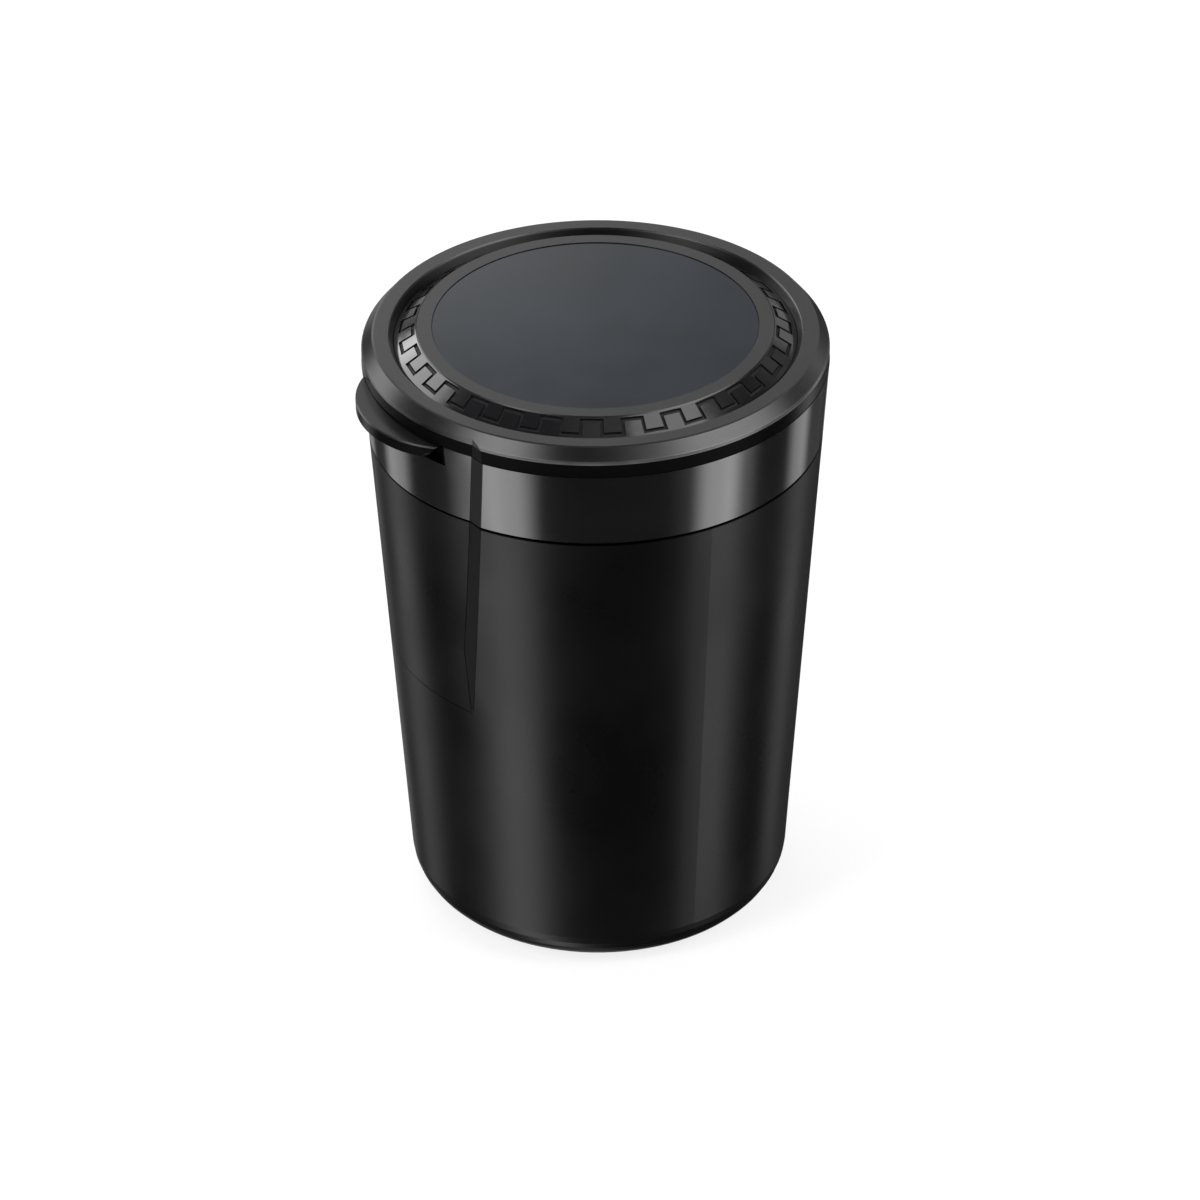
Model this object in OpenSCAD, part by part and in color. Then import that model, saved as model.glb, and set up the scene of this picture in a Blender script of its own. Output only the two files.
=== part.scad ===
/* [Outer form] */
// Diameter at the collar's upper edge, the widest of the wall
rim_d = 79.65; // [78:0.05:90]
// Lean of the outer wall from upright, in degrees
wall_taper = 3.65; // [2.5:0.05:4.5]
// Width of the small bevels along the seam
edge_bevel = 0.15; // [0.1:0.05:0.5]

/* [Cup] */
// Height of the outer cup, from the table to the seam
cup_h = 92; // [70:1:120]
// Wall thickness of the outer cup
cup_wall = 2.2; // [1.8:0.1:2.8]
// Radius of the rounded edge at the foot
foot_round = 7; // [5:0.1:9]
// Height of the neck above the seam
neck_h = 6.6; // [6:0.1:7.5]
// Wall thickness of the neck
neck_wall = 2; // [1.4:0.1:2.5]
// Height of the sloping shoulder inside the cup
shoulder_h = 5; // [3:0.5:8]

/* [Foot pad] */
// Radius of the pad
pad_r = 22; // [15:0.5:24]
// Height that the pad stands below the cup
pad_proud = 0.3; // [0.2:0.1:1]
// Depth of the pad's seat in the cup
pad_seat = 1; // [0.6:0.1:1.2]

/* [Liner] */
// Sheet thickness of the metal liner
liner_sheet = 0.6; // [0.4:0.1:0.8]
// Lean of the liner's wall, in degrees
liner_taper = 2; // [1.8:0.1:2.6]
// Radius of the liner's bottom corner
liner_round = 4; // [2:0.5:6]
// Space under the liner
liner_lift = 1.2; // [0.8:0.1:3]

/* [Collar] */
// Height of the collar's outer wall
collar_h = 13.3; // [13.1:0.1:15]
// Wall thickness at the collar's lower edge
collar_wall = 2; // [1.7:0.1:2.3]
// Thickness of the deck inside the collar
deck_t = 1.6; // [1.2:0.1:2]
// Gap between the cup and the collar at the seam
seam_gap = 0.3; // [0.1:0.05:0.35]
// Height of the soft seal under the deck
seal_h = 0.9; // [0.6:0.1:1.2]

/* [Bayonet] */
// Number of lugs on the neck
lug_count = 3; // [2:1:4]
// Half of the angle that a lug covers
lug_half = 12; // [8:1:14]
// Half of the angle that a ledge covers
ledge_half = 17; // [12:1:17]
// Height of a lug
lug_h = 2; // [1.5:0.1:2.2]
// Height of a ledge
ledge_h = 2.2; // [1.5:0.1:2.4]
// How far a lug stands out from the neck
lug_reach = 1.3; // [1:0.1:1.5]
// Play of the bayonet
bayonet_play = 0.3; // [0.2:0.05:0.4]

/* [Rest ring and snuffer] */
// Width of the flat land on top of the rest ring
land_w = 3.8; // [3.4:0.1:4.2]
// Width of the sloping funnel inside that land
funnel_w = 4.5; // [3:0.1:6]
// Radius of the grooves that a cigarette lies in
rest_groove_r = 4.2; // [3.8:0.1:4.6]
// Number of grooves
rest_grooves = 3; // [0:1:5]
// Depth of the grooves
rest_groove_depth = 1.4; // [0.8:0.1:1.5]
// Sheet thickness of the snuffer plate
plate_t = 0.8; // [0.6:0.1:1]
// Width of the metal in front of the large ash hole
ash_hole_rim = 9.3; // [7:0.1:14]
// Width of the metal between the ash hole and the sleeve
plate_bridge = 5.2; // [3:0.1:8]
// Distance of the sleeve's centre from the plate's edge
sleeve_inset = 16.3; // [15:0.1:18]
// Inner radius of the sleeve at its mouth
sleeve_bore_r = 4.2; // [3.9:0.1:4.5]
// Inner radius of the sleeve at its tip
sleeve_tip_r = 3.4; // [3.2:0.1:3.8]
// Length of the sleeve below the plate
sleeve_l = 14; // [8:1:30]
// Wall thickness of the sleeve
sleeve_wall = 0.6; // [0.4:0.1:0.8]

/* [Lid] */
// Gap between the collar and the closed lid
lid_gap = 0.15; // [0.1:0.05:0.25]
// Height of the matte band around the lid
band_h = 2.3; // [2.2:0.05:4]
// Step from the collar's wall back to the band
band_inset = 0.05; // [0.025:0.025:0.3]
// Height of the bevel on the rim
rim_bevel_h = 2.45; // [1.8:0.05:2.6]
// Width of the bevel on the rim
rim_bevel_w = 1.9; // [1.6:0.1:2.6]
// Width of the small bevel along the rim's upper edge
rim_edge = 0.25; // [0.1:0.05:0.4]
// Height of the steep bevel just above the band
rim_foot = 0.4; // [0.2:0.05:0.5]
// Width of the flat land on top of the rim
rim_land_w = 2.8; // [2.2:0.1:3.4]
// Width of the wall that falls from the rim into the valley
valley_w = 0.9; // [0.6:0.05:1.2]
// Depth of the valley below the rim
valley_depth = 1.35; // [1.1:0.05:1.5]
// Width of the lid shell's web under the disc
shell_web_w = 5.4; // [5:0.1:8]
// Height of the raised disc above the rim
disc_rise = 1.25; // [1.1:0.05:1.8]
// Width of the disc's satin frame
frame_w = 2.7; // [2:0.1:3.5]
// Depth of the panel below the frame's top
panel_drop = 0.15; // [0.1:0.05:0.4]
// Thickness of the panel
panel_t = 0.9; // [0.6:0.05:1]

/* [Meander ring] */
// Width of the sloping meander ring
meander_w = 3.6; // [3.2:0.1:4]
// Number of whole waves around the ring
meander_waves = 29; // [12:1:36]
// Width of the engraved line
meander_line = 0.6; // [0.3:0.02:0.6]
// Depth of the engraved line
meander_depth = 0.4; // [0.1:0.02:0.4]
// Distance of the inner run from the ring's inner edge
meander_inset = 0.5; // [0.5:0.05:0.7]
// Distance between the inner run and the outer run
meander_reach = 2.15; // [1.2:0.05:2.4]
// Turn of the first wave from the thumb tab, in degrees
meander_phase = 0.15; // [0:0.05:12]

/* [Thumb tab] */
// How far the tab stands out from the wall
tab_reach = 4.05; // [2:0.05:5]
// Half of the angle that the tab covers
tab_half = 19.2; // [14:0.1:24]
// Width of the tab's blunt ends
tab_end = 0.35; // [0.3:0.05:1]
// Thickness of the tab
tab_t = 2.4; // [1.8:0.1:2.8]
// Width of the bevel along the tab's edges
tab_bevel = 0.4; // [0.2:0.05:0.6]
// Length over which the tab's ends taper upwards
tab_taper = 2.3; // [1:0.1:4]
// Height of the notch in the collar under the tab
notch_h = 3.65; // [3.6:0.05:5]
// Depth of the notch into the collar
notch_depth = 1.9; // [1.7:0.05:2]

/* [Relief] */
// Angle from the tab to the crease at the rim
relief_angle = 29; // [26:0.1:60]
// Depth of the crease at the rim
relief_depth = 1.05; // [0.4:0.05:1.2]
// Depth of the crease low on the cup, before it runs out
relief_low_depth = 0.75; // [0.3:0.05:1.2]
// Height from the relief's foot to the top of the band
relief_h = 56; // [40:1:60]
// Height over which the relief runs out at its foot
relief_run = 13; // [8:1:20]
// Angle that the crease drifts towards the tab on its way down
relief_drift = 9.1; // [0:0.1:12]
// Angle from the crease back to the start of the hollow
relief_reach = 48; // [40:1:55]
// Turn of the narrow ramp from the crease
ramp_turn = 21.4; // [13:0.1:24]

/* [Hinge] */
// Depth of the pin below the collar's top
hinge_drop = 2.6; // [2.5:0.05:2.8]
// Distance of the pin inside the outer wall
hinge_inset = 0.8; // [0.7:0.05:0.9]
// Radius of the knuckle and the ears
knuckle_r = 1.9; // [1.8:0.05:2]
// Length of the lid's knuckle
knuckle_l = 5.6; // [4:0.1:6]
// Thickness of each ear
ear_t = 2; // [1.5:0.05:2.5]
// Radius of the pin
pin_r = 0.8; // [0.6:0.05:1]
// Radial play of the pin in the knuckle
pin_play = 0.05; // [0.02:0.01:0.08]
// Angle at which the opened lid meets its stop
open_angle = 100; // [90:1:105]

/* [Light unit] */
// Drop of the lid's inner face below the band
spigot_drop = 0.75; // [0.6:0.05:0.8]
// Height of the bevel on the lid's inner face
spigot_bevel = 0.6; // [0.5:0.05:0.7]
// Radial play between the lid's inner face and the collar
spigot_play = 0.7; // [0.6:0.05:0.9]
// Radial width of the gasket
gasket_w = 2; // [1.6:0.1:2.4]
// Depth of the gasket's groove
gasket_groove = 1.4; // [1:0.1:1.8]
// Sheet thickness of the heat shield
shield_t = 0.4; // [0.3:0.05:0.4]
// Width of the heat shield
shield_w = 8.3; // [7.5:0.1:8.6]
// Thickness of the lens
lens_t = 0.8; // [0.5:0.05:0.8]
// Radius of the coin cell
cell_r = 10; // [8:0.5:10]
// Thickness of the coin cell
cell_h = 3.2; // [2:0.1:3.2]
// Thickness of the circuit board
board_t = 0.8; // [0.6:0.1:0.8]
// Number of light emitters
led_count = 4; // [2:1:8]
// Number of screws that hold the lid together
screw_count = 4; // [3:1:6]
// Radius of the screw shank
screw_r = 0.8; // [0.6:0.05:1]

/* [Hidden] */
$fn = 96;
arc_steps = 8;
cut = 20;
sliver = 0.01;
hollow_step = 0.02;

// Heights, from the table up
seam_z = cup_h;
collar_bottom_z = seam_z + seam_gap;
collar_top_z = collar_bottom_z + collar_h;
band_bottom_z = collar_top_z + lid_gap;
band_top_z = band_bottom_z + band_h;
rim_z = band_top_z + rim_bevel_h;
disc_z = rim_z + disc_rise;
rim_r = rim_d / 2;

// Radius of the outer wall at a height
function outer_r(z) = rim_r - (collar_top_z - z) * tan(wall_taper);

// Points of an arc from one angle to another
function arc(x, y, r, from, to) =
    [for (i = [0:arc_steps]) let (a = from + (to - from) * i / arc_steps) [x + r * cos(a), y + r * sin(a)]];

// The neck, the bayonet and the deck, from the collar's wall inwards
bore_r = outer_r(collar_bottom_z) - collar_wall;
lug_r = bore_r - bayonet_play;
neck_r = lug_r - lug_reach;
neck_bore_r = neck_r - neck_wall;
ledge_r = neck_r + bayonet_play;
neck_top_z = seam_z + neck_h;
lug_inset = 1;
lug_top_z = neck_top_z - lug_inset;
lug_bottom_z = lug_top_z - lug_h;
ledge_top_z = lug_bottom_z - bayonet_play;
stop_gap = 1;
stop_angle = 5;

// The liner hangs by its flange on the neck
liner_play = 0.3;
flange_inset = 0.3;
liner_r = neck_bore_r - liner_play;
flange_r = neck_r - flange_inset;
flange_top_z = neck_top_z + liner_sheet;
liner_bottom_z = pad_proud + cup_wall + liner_lift;
function liner_outer_r(z) = liner_r - (neck_top_z - z) * tan(liner_taper);

// The seal, the deck and what lies on it
seal_clear = 0.1;
deck_bottom_z = flange_top_z + seal_clear + seal_h;
deck_top_z = deck_bottom_z + deck_t;
plate_top_z = deck_top_z + plate_t;
ring_fit = 0.2;
ring_r = bore_r - ring_fit;
ring_drop = 1.1;
ring_top_z = collar_top_z - ring_drop;
ring_wall = 1.76;
plate_r = ring_r - ring_wall - ring_fit;
land_r = ring_r - land_w;
funnel_r = land_r - funnel_w;
funnel_edge = 0.25;
flange_w = 2.2;
magnet_r = 3;
magnet_h = 1.6;
magnet_turn = 107;
sleeve_offset = plate_r - sleeve_inset;
ash_hole_back = sleeve_offset - sleeve_bore_r - sleeve_wall - plate_bridge;
ash_hole_front = ash_hole_rim - plate_r;
ash_hole_r = (ash_hole_back - ash_hole_front) / 2;
ash_hole_offset = -(ash_hole_back + ash_hole_front) / 2;

// The lid's inner face
spigot_z = band_bottom_z - spigot_drop;
spigot_r = bore_r - spigot_play;
gasket_rim = 1.06;
gasket_out_r = spigot_r - gasket_rim;
gasket_in_r = gasket_out_r - gasket_w;
gasket_clear = 0.1;
shield_gap = 0.2;
shield_out_r = gasket_in_r - shield_gap;
shield_in_r = shield_out_r - shield_w;
lens_r = shield_in_r - shield_gap;
screw_head_r = screw_r * 2.2;
screw_head_h = screw_r * 1.2;
screw_clear = 0.2;
lens_bottom_z = spigot_z - gasket_clear;
lens_top_z = lens_bottom_z + lens_t;
lens_fit = 0.1;
lens_ledge = 0.7;
hub_bore_r = cell_r + 0.3;
hub_wall = 2.3;
hub_r = hub_bore_r + hub_wall;
cover_r = hub_bore_r + hub_wall / 2;
plate_floor_t = 0.85;
board_top_z = band_top_z - plate_floor_t;
board_bottom_z = board_top_z - board_t;
cell_bottom_z = lens_top_z + lens_fit;
cell_top_z = cell_bottom_z + cell_h;
contact_gap = 0.4;
contact_t = 0.3;
hub_top_z = cell_top_z + contact_gap;
led_side = 3;
led_h = 0.6;
led_ring_r = (hub_r + lens_r) / 2;
sensor_l = 3;
sensor_w = 1.6;
sensor_ring_r = lens_r - lens_ledge - sensor_l;

// The top of the lid
band_r = rim_r - band_inset;
bevel_top_r = band_r - rim_bevel_w;
valley_edge_r = bevel_top_r - rim_land_w;
valley_r = valley_edge_r - valley_w;
valley_z = rim_z - valley_depth;
top_fit = 0.1;
meander_out_r = valley_r - top_fit;
meander_in_r = meander_out_r - meander_w;
frame_r = meander_in_r;
platform_r = frame_r - top_fit;
shell_hole_r = platform_r - shell_web_w;
screw_ring_r = platform_r - shell_web_w / 2;
frame_seat_z = rim_z - 0.5;
panel_r = frame_r - frame_w - top_fit;
panel_bottom_z = disc_z - panel_drop - panel_t;
edge_lean = 22;
valley_edge = 0.12;
meander_foot = 0.15;
meander_drop = 0.15;
frame_bevel = 0.2;

// The thumb tab is cut from a round disc
tab_wall_r = band_r;
tab_chord = (tab_wall_r + tab_end) * sin(tab_half);
tab_sagitta = tab_wall_r + tab_reach - (tab_wall_r + tab_end) * cos(tab_half);
tab_disc_r = (tab_chord * tab_chord + tab_sagitta * tab_sagitta) / (2 * tab_sagitta);
tab_disc_y = tab_disc_r - tab_wall_r - tab_reach;
tab_root_play = 0.5;
notch_r = outer_r(collar_top_z) - notch_depth;
tab_root_r = notch_r + tab_root_play;
tab_bond_r = tab_wall_r - 0.8 * relief_depth;
notch_play = 0.4;
tab_bond = 0.6;

// The hinge
hinge_y = outer_r(collar_top_z) - hinge_inset;
hinge_z = collar_top_z - hinge_drop;
hinge_play = 0.25;
slot_play = 0.3;
slot_half = knuckle_l / 2 + hinge_play;
pin_half = slot_half + ear_t;
arm_outer = hinge_inset - 0.1;
stop_reach = hinge_drop + lid_gap;
stop_height = 0.3;
stop_low = 0.9;
stop_clear = 0.05;
stop_y = (stop_reach + stop_low * cos(open_angle)) / sin(open_angle) - stop_clear;
gusset_h = 5.5;

// A wedge of the whole height between two angles, counted from the tab
module sector(from, to) {
    far = rim_d;
    linear_extrude(height = disc_z + cut)
        polygon([[0, 0], far * [sin(from), -cos(from)], far * [sin((from + to) / 2), -cos((from + to) / 2)],
            far * [sin(to), -cos(to)]]);
}

// A plain ring
module ring(inner, outer, bottom, top) {
    translate([0, 0, bottom])
        difference() {
            cylinder(r = outer, h = top - bottom);
            translate([0, 0, -1])
                cylinder(r = inner, h = top - bottom + 2);
        }
}

// A cone that meets the outer wall without a kink, far from the crease, and is shifted inwards at two heights
module hollow_cone(low_z, low_shift, high_z, high_shift) {
    lean = atan((high_shift - low_shift) / (high_z - low_z));
    flare = wall_taper - lean;
    low_r = (outer_r(low_z) - low_shift) * cos(wall_taper) / cos(flare) - hollow_step;
    rise = high_z - low_z + cut;
    rotate([0, 0, relief_angle - relief_reach])
        translate([0, -low_shift, low_z])
            rotate([lean, 0, 0])
                translate([0, 0, -cut])
                    cylinder(r1 = low_r - cut * tan(flare), r2 = low_r + rise * tan(flare), h = cut + rise);
}

// Everything that the slanting relief takes off the outer wall
module relief_cut() {
    foot_z = band_top_z - relief_h;
    top_r = outer_r(band_top_z) - relief_depth;
    foot_r = outer_r(foot_z) - relief_low_depth;
    foot_angle = relief_angle - relief_drift;
    top = [top_r * sin(relief_angle), -top_r * cos(relief_angle), band_top_z];
    foot = [foot_r * sin(foot_angle), -foot_r * cos(foot_angle), foot_z];
    run = top - foot;
    tilt = acos(run[2] / norm(run));
    heading = atan2(run[1], run[0]);
    ramp = relief_angle - ramp_turn;
    far = rim_r;
    root = 3;
    top_shift = relief_depth / (1 - cos(relief_reach));
    foot_shift = relief_low_depth / (1 - cos(relief_reach - relief_drift));
    run_shift = foot_shift + (top_shift - foot_shift) * relief_run / relief_h;
    difference() {
        intersection() {
            translate([0, 0, foot_z])
                sector(relief_angle - relief_reach, relief_angle + ramp_turn);
            translate(foot)
                rotate([0, 0, heading])
                    rotate([0, tilt, 0])
                        rotate([0, 0, -heading])
                            translate([0, 0, -cut])
                                linear_extrude(height = norm(run) + 2 * cut)
                                    polygon([root * [-cos(ramp), -sin(ramp)], [-far, 0], [0, -2 * far],
                                        far * [cos(ramp), sin(ramp)]]);
        }
        hollow_cone(foot_z, foot_shift, band_top_z, top_shift);
        hollow_cone(foot_z, 0, foot_z + relief_run, run_shift);
    }
}

// Outer cup with its neck and bayonet lugs
module cup() {
    foot_z = pad_proud + foot_round;
    foot_x = outer_r(foot_z) - foot_round / cos(wall_taper);
    shoulder_z = seam_z - cup_wall - 1;
    inner_z = shoulder_z - shoulder_h;
    inner_round = foot_round - cup_wall;
    color([0.07, 0.07, 0.08])
        difference() {
            union() {
                rotate_extrude()
                    polygon(concat([[0, pad_proud]],
                        arc(foot_x, foot_z, foot_round, -90, -wall_taper),
                        [[outer_r(seam_z - edge_bevel), seam_z - edge_bevel],
                            [outer_r(seam_z) - edge_bevel, seam_z],
                            [neck_r, seam_z], [neck_r, neck_top_z], [neck_bore_r, neck_top_z],
                            [neck_bore_r, shoulder_z],
                            [outer_r(inner_z) - cup_wall / cos(wall_taper), inner_z]],
                        arc(foot_x, foot_z, inner_round, -wall_taper, -90),
                        [[0, foot_z - inner_round]]));
                for (i = [0:lug_count - 1])
                    intersection() {
                        ring(neck_r - lug_inset, lug_r, lug_bottom_z, lug_top_z);
                        sector(i * 360 / lug_count - lug_half, i * 360 / lug_count + lug_half);
                    }
            }
            cylinder(r = pad_r, h = pad_proud + pad_seat);
            relief_cut();
        }
}

// Soft pad with two grooves, let into the foot
module base_pad() {
    groove_w = 1.2;
    groove_h = 0.3;
    color([0.12, 0.12, 0.12])
        difference() {
            rotate_extrude()
                polygon([[0, 0], [pad_r - groove_h, 0], [pad_r, groove_h], [pad_r, pad_proud + pad_seat],
                    [0, pad_proud + pad_seat]]);
            for (share = [0.5, 0.75])
                ring(pad_r * share - groove_w / 2, pad_r * share + groove_w / 2, -groove_h, groove_h);
        }
}

// Drawn metal liner that lifts out
module liner() {
    corner_z = liner_bottom_z + liner_round;
    corner_x = liner_outer_r(corner_z) - liner_round / cos(liner_taper);
    inner_round = liner_round - liner_sheet;
    lip = liner_sheet / cos(liner_taper);
    color([0.72, 0.73, 0.75])
        rotate_extrude()
            polygon(concat([[0, liner_bottom_z]],
                arc(corner_x, corner_z, liner_round, -90, -liner_taper),
                [[liner_r, neck_top_z], [flange_r, neck_top_z], [flange_r, flange_top_z],
                    [liner_outer_r(flange_top_z) - lip, flange_top_z]],
                arc(corner_x, corner_z, inner_round, -liner_taper, -90),
                [[0, liner_bottom_z + liner_sheet]]));
}

// Outline of one hinge ear, with the heel that stops the opened lid
module ear_outline() {
    circle(r = knuckle_r);
    polygon([[-knuckle_r, -gusset_h], [0, -gusset_h], [stop_y, -stop_low], [stop_y, -stop_height],
        [knuckle_r * cos(60), knuckle_r * sin(60)], [-knuckle_r, knuckle_r * sin(60)]]);
}

// Places an outline in the hinge's plane and gives it a thickness along the pin
module along_pin(from, to) {
    translate([from, hinge_y, hinge_z])
        rotate([90, 0, 90])
            linear_extrude(height = to - from)
                children();
}

// Collar with its deck, bayonet ledges, tab notch and hinge ears
module collar() {
    color([0.1, 0.1, 0.11])
        difference() {
            union() {
                rotate_extrude()
                    polygon([[outer_r(collar_bottom_z) - edge_bevel, collar_bottom_z],
                        [outer_r(collar_bottom_z + edge_bevel), collar_bottom_z + edge_bevel],
                        [outer_r(collar_top_z), collar_top_z], [bore_r, collar_top_z], [bore_r, deck_top_z],
                        [neck_bore_r, deck_top_z], [neck_bore_r, deck_bottom_z], [bore_r, deck_bottom_z],
                        [bore_r, collar_bottom_z]]);
                for (i = [0:lug_count - 1])
                    collar_ledge(i * 360 / lug_count);
                difference() {
                    for (side = [-1, 1])
                        along_pin(side * (slot_half + pin_half) / 2 - ear_t / 2,
                            side * (slot_half + pin_half) / 2 + ear_t / 2)
                            ear_outline();
                    translate([0, 0, collar_bottom_z])
                        cylinder(r = bore_r + sliver, h = collar_h + cut);
                }
            }
            intersection() {
                ring(notch_r, rim_r + cut, collar_top_z - notch_h, collar_top_z + cut);
                sector(-tab_half - notch_play, tab_half + notch_play);
            }
            translate([-slot_half, hinge_y - knuckle_r - slot_play, hinge_z - knuckle_r - slot_play])
                cube([2 * slot_half, cut, cut]);
            along_pin(-pin_half - 1, pin_half + 1)
                circle(r = pin_r);
            relief_cut();
        }
}

// One ledge under a lug, with the rib that stops the turn
module collar_ledge(angle) {
    stop_from = angle + lug_half + stop_gap;
    intersection() {
        ring(ledge_r, bore_r + lug_inset, ledge_top_z - ledge_h, ledge_top_z);
        sector(angle - ledge_half, angle + ledge_half);
    }
    intersection() {
        ring(ledge_r, bore_r + lug_inset, ledge_top_z - sliver, deck_bottom_z + sliver);
        sector(stop_from, stop_from + stop_angle);
    }
}

// Soft ring between the deck and the liner's flange
module head_seal() {
    lip = 0.3;
    seal_in = neck_bore_r + lip;
    seal_out = flange_r - lip;
    color([0.16, 0.16, 0.17])
        rotate_extrude()
            polygon([[seal_in + lip, deck_bottom_z - seal_h], [seal_out - lip, deck_bottom_z - seal_h],
                [seal_out, deck_bottom_z - seal_h + lip], [seal_out, deck_bottom_z], [seal_in, deck_bottom_z],
                [seal_in, deck_bottom_z - seal_h + lip]]);
}

// Heat resistant ring with a funnel edge and grooves to lay a cigarette in
module rest_ring() {
    groove_z = ring_top_z + rest_groove_r - rest_groove_depth;
    color([0.09, 0.09, 0.09])
        difference() {
            rotate_extrude()
                polygon([[ring_r, deck_top_z], [ring_r, ring_top_z], [land_r, ring_top_z],
                    [funnel_r, plate_top_z + funnel_edge], [funnel_r, plate_top_z],
                    [ring_r - ring_wall, plate_top_z], [ring_r - ring_wall, deck_top_z]]);
            for (i = [0:1:rest_grooves - 1])
                rotate([0, 0, 180 + (i + 0.5) * 360 / rest_grooves])
                    translate([0, funnel_r - funnel_w, groove_z])
                        rotate([-90, 0, 0])
                            cylinder(r = rest_groove_r, h = 2 * funnel_w);
        }
}

// Metal plate with the ash hole and the hole for the sleeve
module snuffer_plate() {
    color([0.7, 0.7, 0.72])
        difference() {
            translate([0, 0, deck_top_z])
                cylinder(r = plate_r, h = plate_t);
            translate([0, -ash_hole_offset, deck_top_z - 1])
                cylinder(r = ash_hole_r, h = plate_t + 2);
            translate([0, sleeve_offset, deck_top_z - 1])
                cylinder(r = sleeve_bore_r + sleeve_wall, h = plate_t + 2);
        }
}

// Tapered sleeve that puts out a cigarette
module snuffer_sleeve() {
    tip_z = deck_top_z - sleeve_l;
    rim_t = 0.6;
    rim_top_z = plate_top_z + rim_t;
    color([0.8, 0.66, 0.35])
        translate([0, sleeve_offset, 0])
            rotate_extrude()
                polygon([[sleeve_tip_r, tip_z], [sleeve_tip_r + sleeve_wall, tip_z],
                    [sleeve_bore_r + sleeve_wall, deck_top_z], [sleeve_bore_r + sleeve_wall, plate_top_z],
                    [sleeve_bore_r + flange_w, plate_top_z],
                    [sleeve_bore_r + flange_w, rim_top_z - rim_t / 2],
                    [sleeve_bore_r + flange_w - rim_t / 2, rim_top_z],
                    [sleeve_bore_r + rim_t / 2, rim_top_z],
                    [sleeve_bore_r, plate_top_z]]);
}

// Small magnet under the plate that tells the lid's sensor it is closed
module switch_magnet() {
    color([0.6, 0.6, 0.62])
        rotate([0, 0, magnet_turn - 90])
            translate([sensor_ring_r, 0, deck_top_z - magnet_h])
                cylinder(r = magnet_r, h = magnet_h);
}

// Steel pin through the ears and the knuckle
module hinge_pin() {
    color([0.75, 0.75, 0.77])
        along_pin(-pin_half, pin_half)
            circle(r = pin_r);
}

// Bevelled rim of the lid with its valley and web
module lid_shell() {
    color([0.16, 0.165, 0.175])
        difference() {
            rotate_extrude()
                polygon([[band_r, band_top_z],
                    [band_r - rim_foot * tan(edge_lean), band_top_z + rim_foot],
                    [bevel_top_r + rim_edge * tan(edge_lean), rim_z - rim_edge * tan(edge_lean)],
                    [bevel_top_r - rim_edge, rim_z],
                    [valley_edge_r + valley_edge, rim_z], [valley_edge_r, rim_z - valley_edge],
                    [valley_r, valley_z], [platform_r, valley_z], [platform_r, frame_seat_z],
                    [shell_hole_r, frame_seat_z], [shell_hole_r, band_top_z]]);
            screw_places()
                translate([0, 0, band_top_z - 1])
                    cylinder(r = screw_r, h = frame_seat_z - band_top_z + 1 - screw_clear);
            relief_cut();
        }
}

// Puts its children at each screw
module screw_places() {
    for (i = [0:screw_count - 1])
        rotate([0, 0, (i + 0.5) * 360 / screw_count])
            translate([screw_ring_r, 0, 0])
                children();
}

// Lid base with the matte band, the light unit's seats, the thumb tab and the knuckle
module lid_base() {
    color([0.06, 0.06, 0.065])
        difference() {
            union() {
                difference() {
                    rotate_extrude()
                        polygon([[band_r, band_bottom_z], [band_r, band_top_z],
                            [hub_r, band_top_z], [hub_r, hub_top_z], [hub_bore_r, hub_top_z],
                            [hub_bore_r, lens_top_z], [hub_r, lens_top_z], [hub_r, board_top_z],
                            [lens_r - lens_ledge, board_top_z], [lens_r - lens_ledge, lens_top_z],
                            [lens_r + lens_fit, lens_top_z], [lens_r + lens_fit, spigot_z],
                            [gasket_in_r, spigot_z], [gasket_in_r, spigot_z + gasket_groove],
                            [gasket_out_r, spigot_z + gasket_groove], [gasket_out_r, spigot_z],
                            [spigot_r - spigot_bevel, spigot_z], [spigot_r, spigot_z + spigot_bevel],
                            [spigot_r, band_bottom_z]]);
                    relief_cut();
                }
                thumb_tab();
                along_pin(-knuckle_l / 2, knuckle_l / 2) {
                    circle(r = knuckle_r);
                    translate([-knuckle_r, 0])
                        square([knuckle_r + arm_outer, stop_reach + tab_bond]);
                }
            }
            along_pin(-pin_half, pin_half)
                circle(r = pin_r + pin_play);
            screw_places()
                screw_hole();
        }
}

// Clearance hole for a screw and its countersunk head
module screw_hole() {
    translate([0, 0, spigot_z - 1])
        cylinder(r = screw_r + screw_clear, h = band_top_z - spigot_z + 2);
    translate([0, 0, spigot_z - shield_t])
        cylinder(r1 = screw_head_r + screw_clear, r2 = screw_r + screw_clear, h = screw_head_h + screw_clear);
}

// Crescent shaped thumb tab, with bevelled edges, that hangs from the band
module thumb_tab() {
    tab_top_z = band_bottom_z;
    intersection() {
        translate([0, tab_disc_y, 0])
            rotate_extrude()
                polygon([[0, tab_top_z - tab_t], [tab_disc_r - tab_bevel, tab_top_z - tab_t],
                    [tab_disc_r, tab_top_z - tab_t + tab_bevel], [tab_disc_r, tab_top_z - tab_bevel / 2],
                    [tab_disc_r - tab_bevel / 2, tab_top_z], [0, tab_top_z]]);
        ring(tab_root_r, rim_r + cut, tab_top_z - cut, tab_top_z);
        sector(-tab_half, tab_half);
        rotate([90, 0, 0])
            linear_extrude(height = rim_d)
                polygon([[tab_taper - tab_chord, tab_top_z - tab_t],
                    [tab_chord - tab_taper, tab_top_z - tab_t], [tab_chord, tab_top_z],
                    [-tab_chord, tab_top_z]]);
    }
    intersection() {
        ring(tab_root_r, tab_bond_r, tab_top_z - tab_bond, tab_top_z + tab_bond);
        sector(-tab_half + 1, tab_half - 1);
    }
}

// A corner of the meander at a radius and an angle from the tab
function corner(r, angle) = [r * sin(angle), -r * cos(angle)];

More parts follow.
